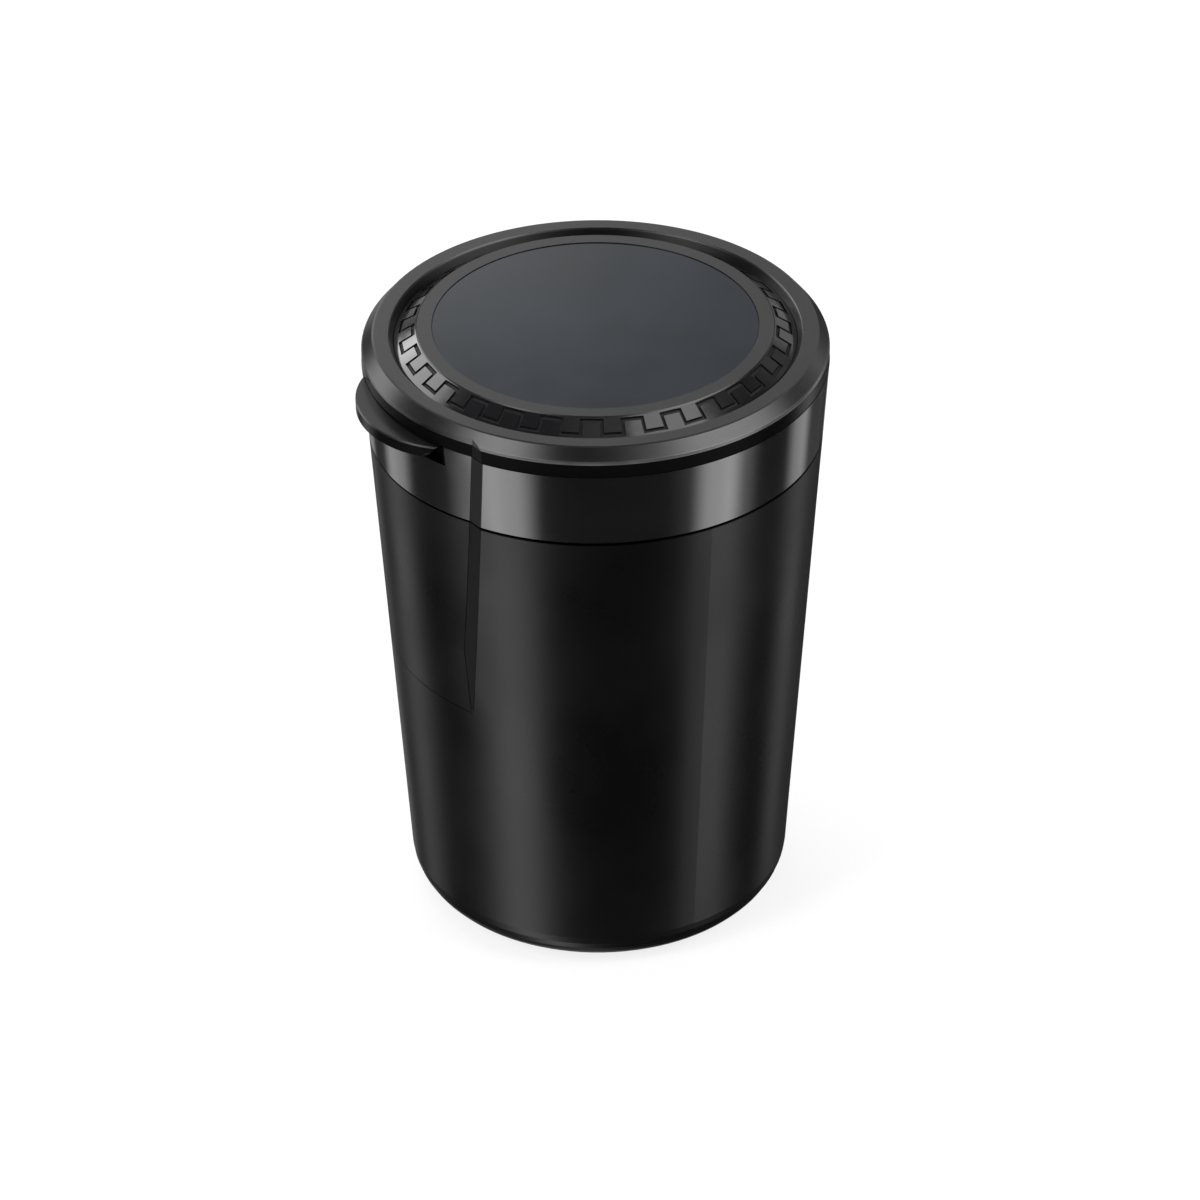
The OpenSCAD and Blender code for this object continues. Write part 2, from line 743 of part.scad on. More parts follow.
// One edge of the engraved line, shifted to the line's outer or inner side
function meander_edge(inner_run, outer_run, shift) =
    [for (i = [0:meander_waves - 1])
        let (wave = 360 / meander_waves,
            start = meander_phase + i * wave,
            grow_out = atan(shift / outer_run),
            grow_in = atan(shift / inner_run))
            each [corner(inner_run + shift, start - wave / 2 + grow_in),
                corner(inner_run + shift, start - grow_in),
                corner(outer_run + shift, start - grow_out),
                corner(outer_run + shift, start + wave / 2 + grow_out)]];

// Sloping ring with the engraved square wave
module meander_ring() {
    inner_run = meander_in_r + meander_inset;
    outer_run = inner_run + meander_reach;
    half_line = meander_line / 2;
    ring_top = disc_z - meander_drop;
    foot_top = valley_z + meander_foot;
    color([0.14, 0.145, 0.155])
        difference() {
            rotate_extrude()
                polygon([[meander_out_r, valley_z], [meander_out_r, foot_top], [meander_in_r, ring_top],
                    [meander_in_r, valley_z]]);
            intersection() {
                linear_extrude(height = disc_z + 1)
                    difference() {
                        polygon(meander_edge(inner_run, outer_run, half_line));
                        polygon(meander_edge(inner_run, outer_run, -half_line));
                    }
                rotate_extrude()
                    polygon([[meander_out_r, foot_top - meander_depth],
                        [meander_in_r, ring_top - meander_depth],
                        [meander_in_r, disc_z + 1], [meander_out_r, disc_z + 1]]);
            }
        }
}

// Raised satin black disc with the seat of the panel
module disc_frame() {
    color([0.17, 0.175, 0.185])
        rotate_extrude()
            polygon([[0, frame_seat_z], [frame_r, frame_seat_z], [frame_r, disc_z - frame_bevel],
                [frame_r - frame_bevel, disc_z], [frame_r - frame_w, disc_z],
                [frame_r - frame_w, panel_bottom_z], [0, panel_bottom_z]]);
}

// Flat glossy panel
module top_panel() {
    color([0.13, 0.16, 0.19])
        translate([0, 0, panel_bottom_z])
            cylinder(r = panel_r, h = panel_t);
}

// Soft gasket of the lid
module lid_gasket() {
    fit = 0.05;
    lip = 0.4;
    bottom = ring_top_z + gasket_clear;
    color([0.15, 0.15, 0.16])
        rotate_extrude()
            polygon([[gasket_in_r + fit + lip, bottom], [gasket_out_r - fit - lip, bottom],
                [gasket_out_r - fit, bottom + lip], [gasket_out_r - fit, spigot_z + gasket_groove],
                [gasket_in_r + fit, spigot_z + gasket_groove], [gasket_in_r + fit, bottom + lip]]);
}

// Thin metal ring that keeps the heat off the lid
module heat_shield() {
    color([0.78, 0.78, 0.8])
        difference() {
            ring(shield_in_r, shield_out_r, spigot_z - shield_t, spigot_z);
            screw_places()
                screw_hole();
        }
}

// Ring shaped circuit board of the light
module led_board() {
    color([0.1, 0.35, 0.2])
        ring(hub_r + lens_fit, lens_r - lens_ledge - lens_fit, board_bottom_z, board_top_z);
}

// Light emitters under the board
module led_emitters() {
    color([0.85, 0.9, 1])
        for (i = [0:led_count - 1])
            rotate([0, 0, (i + 0.5) * 360 / led_count])
                translate([led_ring_r - led_side / 2, -led_side / 2, board_bottom_z - led_h])
                    cube([led_side, led_side, led_h]);
}

// Clear ring in front of the emitters
module led_lens() {
    color([0.8, 0.88, 0.95])
        ring(cover_r + lens_fit, lens_r, lens_bottom_z, lens_top_z);
}

// Sensor that lies above the magnet
module lid_sensor() {
    color([0.05, 0.05, 0.05])
        rotate([0, 0, magnet_turn - 90])
            translate([sensor_ring_r - sensor_l / 2, -sensor_w / 2, board_bottom_z - led_h])
                cube([sensor_l, sensor_w, led_h]);
}

// Coin cell with its narrower upper face
module coin_cell() {
    step = 0.6;
    color([0.8, 0.8, 0.82])
        rotate_extrude()
            polygon([[0, cell_bottom_z], [cell_r, cell_bottom_z], [cell_r, cell_top_z - step],
                [cell_r - 2 * step, cell_top_z - step], [cell_r - 2 * step, cell_top_z], [0, cell_top_z]]);
}

// Spring strip that presses on the cell
module cell_contact() {
    strip_w = 4;
    dimple_r = 1.5;
    color([0.85, 0.75, 0.45])
        union() {
            translate([-hub_r, -strip_w / 2, hub_top_z])
                cube([2 * hub_r, strip_w, contact_t]);
            translate([0, 0, cell_top_z])
                cylinder(r = dimple_r, h = contact_gap + contact_t);
        }
}

// Cover of the cell, turned with a coin
module battery_cover() {
    slot_l = 8;
    slot_w = 1.6;
    slot_depth = lens_t / 2;
    color([0.1, 0.1, 0.1])
        difference() {
            translate([0, 0, lens_bottom_z])
                cylinder(r = cover_r, h = lens_t);
            translate([-slot_l / 2, -slot_w / 2, lens_bottom_z - 1])
                cube([slot_l, slot_w, 1 + slot_depth]);
        }
}

// Screws that hold the shield and the base to the shell
module lid_screws() {
    color([0.7, 0.7, 0.72])
        screw_places()
            union() {
                translate([0, 0, spigot_z - shield_t])
                    cylinder(r1 = screw_head_r, r2 = screw_r, h = screw_head_h);
                translate([0, 0, spigot_z - shield_t])
                    cylinder(r = screw_r, h = frame_seat_z - spigot_z + shield_t - 2 * screw_clear);
            }
}

cup();
base_pad();
liner();
collar();
head_seal();
rest_ring();
snuffer_plate();
snuffer_sleeve();
switch_magnet();
hinge_pin();
lid_shell();
lid_base();
meander_ring();
disc_frame();
top_panel();
lid_gasket();
heat_shield();
led_board();
led_emitters();
led_lens();
lid_sensor();
coin_cell();
cell_contact();
battery_cover();
lid_screws();
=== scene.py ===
"""Car ashtray with a hinged lid: its finishes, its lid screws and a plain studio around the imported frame."""
import logging
import math
from dataclasses import dataclass, field
from enum import Enum

import bmesh
import bpy
from mathutils import Matrix, Vector


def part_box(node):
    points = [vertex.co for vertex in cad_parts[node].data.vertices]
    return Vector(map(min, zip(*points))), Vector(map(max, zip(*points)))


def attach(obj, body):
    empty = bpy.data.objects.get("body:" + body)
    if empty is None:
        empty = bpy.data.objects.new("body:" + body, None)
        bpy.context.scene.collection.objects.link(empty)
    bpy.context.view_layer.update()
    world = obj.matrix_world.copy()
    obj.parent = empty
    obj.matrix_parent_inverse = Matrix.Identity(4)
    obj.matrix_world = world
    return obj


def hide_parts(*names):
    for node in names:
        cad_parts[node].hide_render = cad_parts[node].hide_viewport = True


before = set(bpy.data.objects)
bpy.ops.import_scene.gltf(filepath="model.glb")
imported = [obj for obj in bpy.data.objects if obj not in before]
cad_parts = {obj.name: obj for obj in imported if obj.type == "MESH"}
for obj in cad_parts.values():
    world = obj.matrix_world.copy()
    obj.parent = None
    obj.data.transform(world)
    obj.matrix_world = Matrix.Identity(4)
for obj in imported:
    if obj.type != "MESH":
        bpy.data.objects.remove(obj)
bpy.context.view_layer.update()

LOG = logging.getLogger("ashtray")
MM = 0.001

Colour = tuple[float, float, float]
Direction = tuple[float, float, float]
Socket = bpy.types.NodeSocket


class Lay(Enum):
    """How the fine lines of a worked surface run."""

    NONE = "none"
    TURNED = "turned"
    DRAWN = "drawn"
    STRAIGHT = "straight"


class Effect(Enum):
    """The surface effects that several finishes share."""

    GRAIN = "moulded_grain"
    SMUDGE = "soft_smudges"
    DUST = "fine_dust"
    RIM_WEAR_AND_HIGHLIGHT = "rim_wear_and_highlight"
    TURNED = "turned_lines"
    DRAWN = "drawn_lines"
    STRAIGHT = "straight_lines"


class NodeBook:
    """Adds nodes to one shader tree and links them."""

    def __init__(self, tree: bpy.types.NodeTree) -> None:
        """Starts from an existing tree.

        Args:
            tree: The tree that gets the nodes.
        """
        self.tree = tree

    def add(self, kind: str, **settings: object) -> bpy.types.Node:
        """Adds one node.

        Args:
            kind: The node's type without the ShaderNode prefix.
            **settings: Attributes to set on the node.

        Returns:
            The new node.
        """
        node = self.tree.nodes.new("ShaderNode" + kind)
        for name, value in settings.items():
            setattr(node, name, value)
        return node

    def link(self, out: Socket, into: Socket) -> None:
        """Links an output to an input."""
        self.tree.links.new(out, into)

    def place(self) -> Socket:
        """Gives object coordinates."""
        return self.add("TexCoord").outputs["Object"]

    def parts(self, vector: Socket) -> tuple[Socket, Socket, Socket]:
        """Splits a vector into X, Y and Z."""
        node = self.add("SeparateXYZ")
        self.link(vector, node.inputs[0])
        return node.outputs["X"], node.outputs["Y"], node.outputs["Z"]

    def feed(self, socket: Socket, value: object) -> None:
        """Links a socket's value, or sets it where the value is plain.

        Args:
            socket: The input that gets the value.
            value: An output socket, a number or a tuple.
        """
        if isinstance(value, bpy.types.NodeSocket):
            self.link(value, socket)
        else:
            socket.default_value = value

    def sum(self, operation: str, *values: object, clamp: bool = False) -> Socket:
        """Adds a Math node.

        Args:
            operation: The node's operation.
            *values: Outputs or numbers for its inputs.
            clamp: Whether the result stays between 0 and 1.

        Returns:
            The node's output.
        """
        node = self.add("Math", operation=operation, use_clamp=clamp)
        for socket, value in zip(node.inputs, values):
            self.feed(socket, value)
        return node.outputs[0]

    def product(self, *values: Socket) -> Socket:
        """Multiplies two or more outputs."""
        total = values[0]
        for value in values[1:]:
            total = self.sum("MULTIPLY", total, value)
        return total

    def vector(self, operation: str, first: Socket, second: Direction | None = None) -> bpy.types.Node:
        """Adds a Vector Math node.

        Args:
            operation: The node's operation.
            first: The output for its first input.
            second: The plain vector for its second input.

        Returns:
            The node.
        """
        node = self.add("VectorMath", operation=operation)
        self.link(first, node.inputs[0])
        if second is not None:
            node.inputs[1].default_value = second
        return node

    def spread(self, value: Socket, low: float, high: float, to_low: object, to_high: object) -> Socket:
        """Maps a range of a value to another range and clamps it.

        Args:
            value: The output to map.
            low: Start of the old range.
            high: End of the old range.
            to_low: Start of the new range.
            to_high: End of the new range.

        Returns:
            The mapped output.
        """
        node = self.add("MapRange", clamp=True)
        for socket, item in zip(node.inputs, (value, low, high, to_low, to_high)):
            self.feed(socket, item)
        return node.outputs[0]

    def noise(self, vector: Socket, scale: object, detail: float = 2.0) -> Socket:
        """Adds a noise texture and gives its factor.

        Args:
            vector: The coordinates.
            scale: The pattern's scale per metre.
            detail: Octaves of the noise.

        Returns:
            The factor output.
        """
        node = self.add("TexNoise")
        self.link(vector, node.inputs["Vector"])
        self.feed(node.inputs["Scale"], scale)
        node.inputs["Detail"].default_value = detail
        return node.outputs["Fac"]

    def mix(self, share: object, first: object, second: object) -> Socket:
        """Mixes two colours.

        Args:
            share: How much of the second colour shows.
            first: The first colour.
            second: The second colour.

        Returns:
            The mixed colour.
        """
        node = self.add("Mix", data_type="RGBA")
        for name, value in (("Factor_Float", share), ("A_Color", first), ("B_Color", second)):
            socket = next(s for s in node.inputs if s.identifier == name)
            self.feed(socket, (*value, 1.0) if isinstance(value, tuple) else value)
        return next(s for s in node.outputs if s.identifier == "Result_Color")

    def blend(self, share: Socket, first: object, second: object) -> Socket:
        """Mixes two numbers.

        Args:
            share: How much of the second number counts.
            first: The first number.
            second: The second number.

        Returns:
            The mixed number.
        """
        return self.spread(share, 0.0, 1.0, first, second)


class EffectShelf:
    """Builds each shared effect once, as a node group."""

    smudge_edge = (0.38, 0.66)
    speck_edge = (0.05, 0.11)
    patch_scale = 60.0
    patch_edge = (0.52, 0.66)
    rub_scale = 160.0
    rub_edge = (0.3, 0.65)
    rub_least = 0.45

    def __init__(self) -> None:
        """Starts with no group built."""
        self.groups: dict[Effect, bpy.types.NodeTree] = {}

    def place(self, book: NodeBook, effect: Effect, **values: float) -> bpy.types.Node:
        """Puts an effect into a material.

        Args:
            book: The material's tree.
            effect: The effect to place.
            **values: Values of the group's inputs, with underscores for spaces.

        Returns:
            The group node.
        """
        if effect not in self.groups:
            self.groups[effect] = self.build(effect)
        node = book.add("Group", node_tree=self.groups[effect])
        for name, value in values.items():
            node.inputs[name.replace("_", " ")].default_value = value
        return node

    def build(self, effect: Effect) -> bpy.types.NodeTree:
        """Builds one group.

        Args:
            effect: The effect to build.

        Returns:
            The node group.
        """
        makers = {
            Effect.GRAIN: (self.grain, ("Scale", "Depth"), "Height"),
            Effect.SMUDGE: (self.smudge, ("Scale",), "Mask"),
            Effect.DUST: (self.dust, ("Scale", "Amount"), "Mask"),
            Effect.RIM_WEAR_AND_HIGHLIGHT: (self.rim_wear_and_highlight, ("Radius", "Width"), "Mask"),
            Effect.TURNED: (self.turned, ("Scale", "Depth"), "Height"),
            Effect.DRAWN: (self.drawn, ("Scale", "Depth"), "Height"),
            Effect.STRAIGHT: (self.straight, ("Scale", "Depth"), "Height"),
        }
        maker, inputs, output = makers[effect]
        tree = bpy.data.node_groups.new(effect.value, "ShaderNodeTree")
        for name in inputs:
            tree.interface.new_socket(name=name, in_out="INPUT", socket_type="NodeSocketFloat")
        tree.interface.new_socket(name=output, in_out="OUTPUT", socket_type="NodeSocketFloat")
        book = NodeBook(tree)
        entry = tree.nodes.new("NodeGroupInput")
        leave = tree.nodes.new("NodeGroupOutput")
        book.link(maker(book, book.place(), entry), leave.inputs[output])
        return tree

    def grain(self, book: NodeBook, place: Socket, entry: bpy.types.Node) -> Socket:
        """Makes the fine grain of a moulded surface.

        Args:
            book: The group's tree.
            place: Object coordinates.
            entry: The group's input node.

        Returns:
            The grain's height in metres.
        """
        return self.relief(book, place, entry)

    def smudge(self, book: NodeBook, place: Socket, entry: bpy.types.Node) -> Socket:
        """Makes wide, soft patches from handling.

        Args:
            book: The group's tree.
            place: Object coordinates.
            entry: The group's input node.

        Returns:
            A mask from 0 to 1.
        """
        return book.spread(book.noise(place, entry.outputs["Scale"], 4.0), *self.smudge_edge, 0.0, 1.0)

    def dust(self, book: NodeBook, place: Socket, entry: bpy.types.Node) -> Socket:
        """Makes sparse specks of dust.

        Args:
            book: The group's tree.
            place: Object coordinates.
            entry: The group's input node.

        Returns:
            A mask from 0 to the group's amount.
        """
        cells = book.add("TexVoronoi", feature="F1")
        book.link(place, cells.inputs["Vector"])
        book.link(entry.outputs["Scale"], cells.inputs["Scale"])
        speck = book.spread(cells.outputs["Distance"], *self.speck_edge, 1.0, 0.0)
        patch = book.spread(book.noise(place, self.patch_scale), *self.patch_edge, 0.0, 1.0)
        return book.product(speck, patch, entry.outputs["Amount"])

    def rim_wear_and_highlight(self, book: NodeBook, place: Socket, entry: bpy.types.Node) -> Socket:
        """Makes a lighter, patchy line along a round edge about the cup's axis: part rubbing, part painted
        highlight of the edge.

        Args:
            book: The group's tree.
            place: Object coordinates.
            entry: The group's input node.

        Returns:
            A mask from 0 to 1.
        """
        off = book.sum("ABSOLUTE", book.sum("SUBTRACT", self.radius(book, place), entry.outputs["Radius"]))
        near = book.sum("SUBTRACT", 1.0, book.sum("DIVIDE", off, entry.outputs["Width"]), clamp=True)
        rubbed = book.spread(book.noise(place, self.rub_scale), *self.rub_edge, self.rub_least, 1.0)
        return book.sum("MULTIPLY", near, rubbed)

    def turned(self, book: NodeBook, place: Socket, entry: bpy.types.Node) -> Socket:
        """Makes rings about the cup's axis, as left by turning.

        Args:
            book: The group's tree.
            place: Object coordinates.
            entry: The group's input node.

        Returns:
            The lines' height in metres.
        """
        flat = book.add("CombineXYZ")
        book.link(self.radius(book, place), flat.inputs["X"])
        return self.relief(book, flat.outputs[0], entry)

    def drawn(self, book: NodeBook, place: Socket, entry: bpy.types.Node) -> Socket:
        """Makes level lines round a drawn wall.

        Args:
            book: The group's tree.
            place: Object coordinates.
            entry: The group's input node.

        Returns:
            The lines' height in metres.
        """
        return self.stretched(book, place, (0.012, 0.012, 1.0), entry)

    def straight(self, book: NodeBook, place: Socket, entry: bpy.types.Node) -> Socket:
        """Makes straight brushed lines along X.

        Args:
            book: The group's tree.
            place: Object coordinates.
            entry: The group's input node.

        Returns:
            The lines' height in metres.
        """
        return self.stretched(book, place, (0.015, 1.0, 1.0), entry)

    def relief(self, book: NodeBook, place: Socket, entry: bpy.types.Node) -> Socket:
        """Turns a noise over some coordinates into a height.

        Args:
            book: The group's tree.
            place: The coordinates.
            entry: The group's input node.

        Returns:
            The height in metres.
        """
        return book.sum("MULTIPLY", book.noise(place, entry.outputs["Scale"], 3.0), entry.outputs["Depth"])

    def stretched(self, book: NodeBook, place: Socket, squeeze: Direction, entry: bpy.types.Node) -> Socket:
        """Makes lines as a noise that is drawn out along the squeezed axes.

        Args:
            book: The group's tree.
            place: Object coordinates.
            squeeze: The factor of each axis.
            entry: The group's input node.

        Returns:
            The lines' height in metres.
        """
        mapping = book.add("Mapping")
        book.link(place, mapping.inputs["Vector"])
        mapping.inputs["Scale"].default_value = squeeze
        return self.relief(book, mapping.outputs[0], entry)

    def radius(self, book: NodeBook, place: Socket) -> Socket:
        """Gives the distance from the cup's axis.

        Args:
            book: The tree.
            place: Object coordinates.

        Returns:
            The distance in metres.
        """
        level = book.vector("MULTIPLY", place, (1.0, 1.0, 0.0))
        return book.vector("LENGTH", level.outputs[0]).outputs["Value"]


SHELF = EffectShelf()


@dataclass(frozen=True)
class Finish:
    """The finish of one kind of surface."""

    name: str
    base: Colour
    roughness: float
    patchy: float = 0.06
    tone: float = 0.25
    smudge_scale: float = 35.0
    metallic: float = 0.0
    specular: float = 0.5
    coat: float = 0.0
    coat_roughness: float = 0.05
    grain_scale: float = 2600.0
    grain_depth: float = 0.004 * MM
    lay: Lay = Lay.NONE
    lay_scale: float = 4000.0
    lay_depth: float = 0.003 * MM
    dust: float = 0.0
    dust_scale: float = 900.0
    dust_colour: Colour = (0.3, 0.29, 0.27)
    wear_and_highlight_radius: float = 0.0
    wear_and_highlight_width: float = 0.5 * MM
    wear_and_highlight_share: float = 0.5
    wear_and_highlight_colour: Colour = (0.12, 0.12, 0.125)
    # Second mask: painted shade, a near-black colour that takes out the reflections too when fully metallic;
    # the tab sets a lighter colour here for its painted sheen.
    shade_and_sheen_base: Colour = (0.002, 0.002, 0.002)
    shade_and_sheen_roughness: float = 0.6
    shade_and_sheen_coat: float = 0.0
    shade_and_sheen_metallic: float = 0.0
    edge_coat: float = 0.0
    edge_start: float = 0.45
    edge_full: float = 0.74

    def material(self) -> bpy.types.Material:
        """Builds the material.

        Returns:
            The new material.
        """
        material = bpy.data.materials.new(self.name)
        material.use_nodes = True
        book = NodeBook(material.node_tree)
        shader = material.node_tree.nodes["Principled BSDF"]
        shader.inputs["Metallic"].default_value = self.metallic
        shader.inputs["Specular IOR Level"].default_value = self.specular
        shader.inputs["Coat Weight"].default_value = self.coat
        shader.inputs["Coat Roughness"].default_value = self.coat_roughness
        patches = SHELF.place(book, Effect.SMUDGE, Scale=self.smudge_scale).outputs["Mask"]
        colour = self.colour(book, patches)
        swing = self.patchy / 2
        rough = book.blend(patches, self.roughness - swing, self.roughness + swing)
        if self.dust:
            specks = SHELF.place(book, Effect.DUST, Scale=self.dust_scale, Amount=self.dust).outputs["Mask"]
            colour = book.mix(specks, colour, self.dust_colour)
            rough = book.sum("ADD", rough, specks, clamp=True)
        # Lighter patchy line on the lid's outer edge: part rubbing, part painted highlight.
        if self.wear_and_highlight_radius:
            worn_and_lit = SHELF.place(book, Effect.RIM_WEAR_AND_HIGHLIGHT, Radius=self.wear_and_highlight_radius, Width=self.wear_and_highlight_width)
            share = book.sum("MULTIPLY", worn_and_lit.outputs["Mask"], self.wear_and_highlight_share)
            colour = book.mix(share, colour, self.wear_and_highlight_colour)
        # The second mask paints shade over the plain finish, or a lighter sheen on the tab's top.
        second = self.second(book)
        if second is not None:
            colour = book.mix(second, colour, self.shade_and_sheen_base)
            rough = book.blend(second, rough, self.shade_and_sheen_roughness)
            book.link(book.blend(second, self.varnish(book), self.shade_and_sheen_coat), shader.inputs["Coat Weight"])
            book.link(book.blend(second, self.metallic, self.shade_and_sheen_metallic), shader.inputs["Metallic"])
        book.link(colour, shader.inputs["Base Color"])
        book.link(rough, shader.inputs["Roughness"])
        bump = book.add("Bump")
        bump.inputs["Strength"].default_value = 1.0
        bump.inputs["Distance"].default_value = 1.0
        book.link(self.height(book), bump.inputs["Height"])
        book.link(bump.outputs["Normal"], shader.inputs["Normal"])
        self.special(book, shader)
        return material

    def varnish(self, book: NodeBook) -> object:
        """Gives the coat, which can grow where the surface is seen at a flat angle.

        Args:
            book: The material's tree.

        Returns:
            The coat's weight, as a number or an output.
        """
        if not self.edge_coat:
            return self.coat
        facing = book.add("LayerWeight").outputs["Facing"]
        return book.spread(facing, self.edge_start, self.edge_full, self.coat, self.edge_coat)

    def colour(self, book: NodeBook, patches: Socket) -> Socket:
        """Gives the surface its colour, a little uneven.

        Args:
            book: The material's tree.
            patches: The mask of the soft patches.

        Returns:
            The colour output.
        """
        darker = tuple(part * (1.0 - self.tone) for part in self.base)
        lighter = tuple(part * (1.0 + self.tone) for part in self.base)
        return book.mix(patches, darker, lighter)

    def height(self, book: NodeBook) -> Socket:
        """Gives the surface its fine relief.

        Args:
            book: The material's tree.

        Returns:
            The height in metres.
        """
        grain = SHELF.place(book, Effect.GRAIN, Scale=self.grain_scale, Depth=self.grain_depth)
        if self.lay is Lay.NONE:
            return grain.outputs["Height"]
        effect = Effect(self.lay.value + "_lines")
        lines = SHELF.place(book, effect, Scale=self.lay_scale, Depth=self.lay_depth)
        return book.sum("ADD", grain.outputs["Height"], lines.outputs["Height"])

    def second(self, book: NodeBook) -> Socket | None:
        """Gives the mask of painted shade, or of painted sheen on the tab; a plain finish has none."""
        return None

    def special(self, book: NodeBook, shader: bpy.types.Node) -> None:
        """Leaves room for a finish of its own kind; a plain finish adds nothing."""


@dataclass(frozen=True)
class GrooveShadeFinish(Finish):
    """A gloss cone whose engraved line has a matte floor, painted darker and without coat as painted shade in
    the groove.
    """

    inner_radius: float = 30.475 * MM
    inner_height: float = 111.6 * MM
    slope: float = 2.3 / 3.6
    edge_depth: float = 0.15 * MM
    floor_depth: float = 0.25 * MM

    def second(self, book: NodeBook) -> Socket | None:
        """Finds the floor of the line, where shade is painted, by its depth below the cone.

        Args:
            book: The material's tree.

        Returns:
            A mask from 0 to 1.
        """
        place = book.place()
        height = book.parts(place)[2]
        outward = book.sum("SUBTRACT", SHELF.radius(book, place), self.inner_radius)
        top = book.sum("SUBTRACT", self.inner_height, book.sum("MULTIPLY", outward, self.slope))
        depth = book.sum("SUBTRACT", top, height)
        return book.spread(depth, self.edge_depth, self.floor_depth, 0.0, 1.0)


@dataclass(frozen=True)
class TabSheenFinish(Finish):
    """A matte band whose thumb tab is satin on its top, and painted lighter there as painted sheen."""

    tab_radius: float = 39.8 * MM
    tab_full_radius: float = 39.9 * MM
    tab_height: float = 105.5 * MM

    def second(self, book: NodeBook) -> Socket | None:
        """Finds the tab's top, where sheen is painted, by its height and its distance from the cup's axis.

        Args:
            book: The material's tree.

        Returns:
            A mask from 0 to 1.
        """
        place = book.place()
        height = book.parts(place)[2]
        out = book.spread(SHELF.radius(book, place), self.tab_radius, self.tab_full_radius, 0.0, 1.0)
        return book.product(out, book.sum("GREATER_THAN", height, self.tab_height))


@dataclass(frozen=True)
class ValleyShadeFinish(Finish):
    """A satin lid with painted shade in the valley round the disc: a near-black colour which, being fully
    metallic, takes out the reflections.
    """

    valley_radius: float = 35.1 * MM
    valley_full_height: float = 110.15 * MM
    valley_height: float = 110.45 * MM
    valley_shade_share: float = 0.75

    def second(self, book: NodeBook) -> Socket | None:
        """Finds the valley, where shade is painted, by its height and its distance from the cup's axis.

        Args:
            book: The material's tree.

        Returns:
            The share of painted shade.
        """
        place = book.place()
        height = book.parts(place)[2]
        deep = book.spread(height, self.valley_full_height, self.valley_height, self.valley_shade_share, 0.0)
        return book.product(deep, book.sum("LESS_THAN", SHELF.radius(book, place), self.valley_radius))


@dataclass(frozen=True)
class FlankShadeFinish(Finish):
    """A finish with painted shade, near black, on the plane flank of the slanting relief."""

    flank_normal: Direction = (-0.130762, 0.9911, 0.024939)
    flank_offset: float = -33.52036 * MM
    flank_play: float = 0.05 * MM
    flank_radius: float = 35.0 * MM
    flank_foot: float = 52.5 * MM
    flank_shade_share: float = 0.5

    def flank(self, book: NodeBook, place: Socket) -> Socket:
        """Finds the flank as the places that lie in its plane, near the outer wall in front.

        Args:
            book: The material's tree.
            place: Object coordinates.

        Returns:
            The flank's share of painted shade.
        """
        across, along, height = book.parts(place)
        level = book.vector("DOT_PRODUCT", place, self.flank_normal).outputs["Value"]
        off = book.sum("ABSOLUTE", book.sum("SUBTRACT", level, self.flank_offset))
        here = book.product(
            book.sum("LESS_THAN", off, self.flank_play),
            book.sum("GREATER_THAN", SHELF.radius(book, place), self.flank_radius),
            book.sum("GREATER_THAN", across, 0.0),
            book.sum("LESS_THAN", along, 0.0),
            book.sum("GREATER_THAN", height, self.flank_foot))
        return book.sum("MULTIPLY", here, self.flank_shade_share)


@dataclass(frozen=True)
class ShoulderShadeFinish(FlankShadeFinish):
    """A satin cup with painted shade, near black, on its upper edge and neck at the collar."""

    shoulder_height: float = 91.84 * MM

    def second(self, book: NodeBook) -> Socket | None:
        """Finds the painted shade: the edge and the neck by their height, and the flank.

        Args:
            book: The material's tree.

        Returns:
            A mask from 0 to 1.
        """
        place = book.place()
        high = book.sum("GREATER_THAN", book.parts(place)[2], self.shoulder_height)
        return book.sum("MAXIMUM", high, self.flank(book, place))


@dataclass(frozen=True)
class NotchShadeFinish(FlankShadeFinish):
    """A gloss collar with painted shade, near black, in the notch under the tab."""

    notch_height: float = 101.9 * MM
    notch_half: float = 13.4 * MM
    notch_front: float = -30.0 * MM

    def second(self, book: NodeBook) -> Socket | None:
        """Finds the painted shade: the notch in front, at the collar's upper edge, and the flank.

        Args:
            book: The material's tree.

        Returns:
            A mask from 0 to 1.
        """
        place = book.place()
        across, along, height = book.parts(place)
        notch = book.product(
            book.sum("GREATER_THAN", height, self.notch_height),
            book.sum("LESS_THAN", along, self.notch_front),
            book.sum("LESS_THAN", book.sum("ABSOLUTE", across), self.notch_half))
        return book.sum("MAXIMUM", notch, self.flank(book, place))


@dataclass(frozen=True)
class BoardFinish(Finish):
    """Green solder mask with paler tracks under it."""

    track: Colour = (0.06, 0.3, 0.12)
    track_scale: float = 420.0
    track_edge: tuple[float, float] = (0.05, 0.08)

    def colour(self, book: NodeBook, patches: Socket) -> Socket:
        """Adds tracks to the even colour.

        Args:
            book: The material's tree.
            patches: The mask of the soft patches.

        Returns:
            The colour output.
        """
        plain = super().colour(book, patches)
        cells = book.add("TexVoronoi", feature="DISTANCE_TO_EDGE")
        book.link(book.place(), cells.inputs["Vector"])
        cells.inputs["Scale"].default_value = self.track_scale
        tracks = book.spread(cells.outputs["Distance"], *self.track_edge, 1.0, 0.0)
        return book.mix(tracks, plain, self.track)


@dataclass(frozen=True)
class LensFinish(Finish):
    """Frosted clear plastic."""

    transmission: float = 0.85

    def special(self, book: NodeBook, shader: bpy.types.Node) -> None:
        """Lets light through."""
        shader.inputs["Transmission Weight"].default_value = self.transmission


